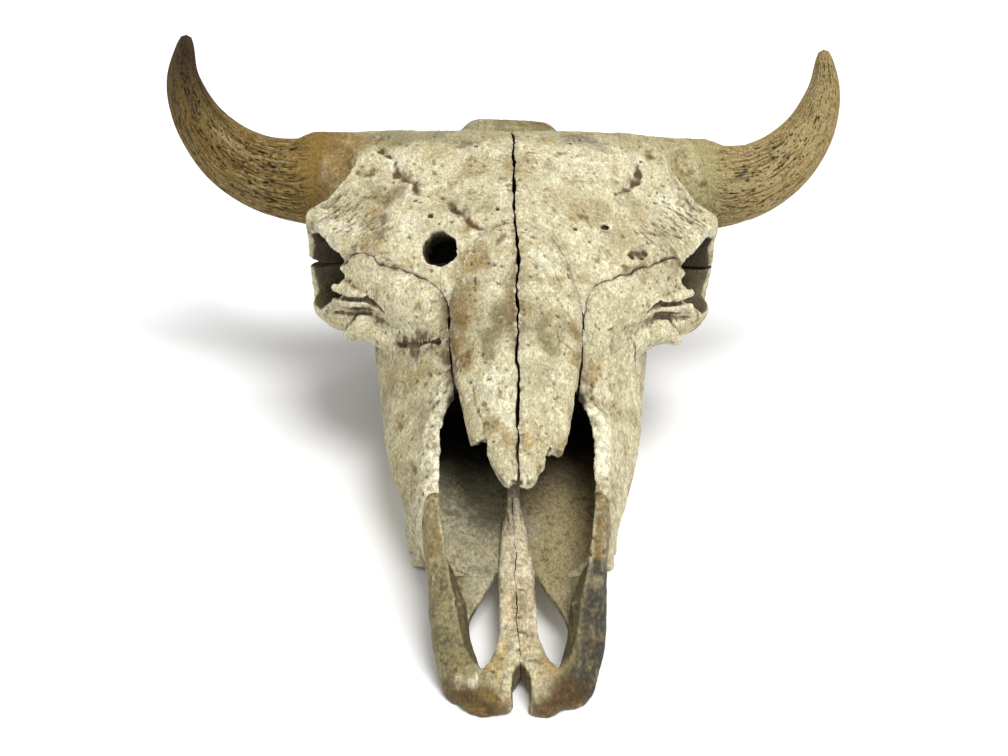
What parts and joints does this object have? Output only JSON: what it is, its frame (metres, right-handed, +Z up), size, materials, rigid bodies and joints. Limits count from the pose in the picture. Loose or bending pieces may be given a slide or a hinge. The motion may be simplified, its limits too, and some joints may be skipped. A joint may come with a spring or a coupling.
{
  "type": "bison skull",
  "caption": "Dry cranium of a young adult bison bull with bare horn cores, open sutures and no lower jaw, resting on its muzzle tips, cheek teeth and rear processes",
  "frame": {"origin": "Centre of the bounding box on the floor plane under the skull", "axes": "+X to the animal's left, +Y from the muzzle towards the back of the head, +Z up"},
  "size_m": [0.577, 0.549, 0.2824],
  "materials": {
    "bone": "matte dry bone, ivory with tan and grey stains",
    "horn_core": "matte porous bone, ochre brown and streaked"
  },
  "bodies": {
    "root": {"nasal_left": "bone", "nasal_right": "bone", "premaxilla_left": "bone", "premaxilla_right": "bone", "maxilla_left": "bone", "maxilla_right": "bone", "lacrimal_left": "bone", "lacrimal_right": "bone", "zygomatic_left": "bone", "zygomatic_right": "bone", "frontal_left": "bone", "frontal_right": "bone", "temporal_left": "bone", "temporal_right": "bone", "palatine_left": "bone", "palatine_right": "bone", "exoccipital_left": "bone", "exoccipital_right": "bone", "parietal": "bone", "sphenoid": "bone", "vomer": "bone", "horn_core_left": "horn_core", "horn_core_right": "horn_core"}
  },
  "joints": []
}
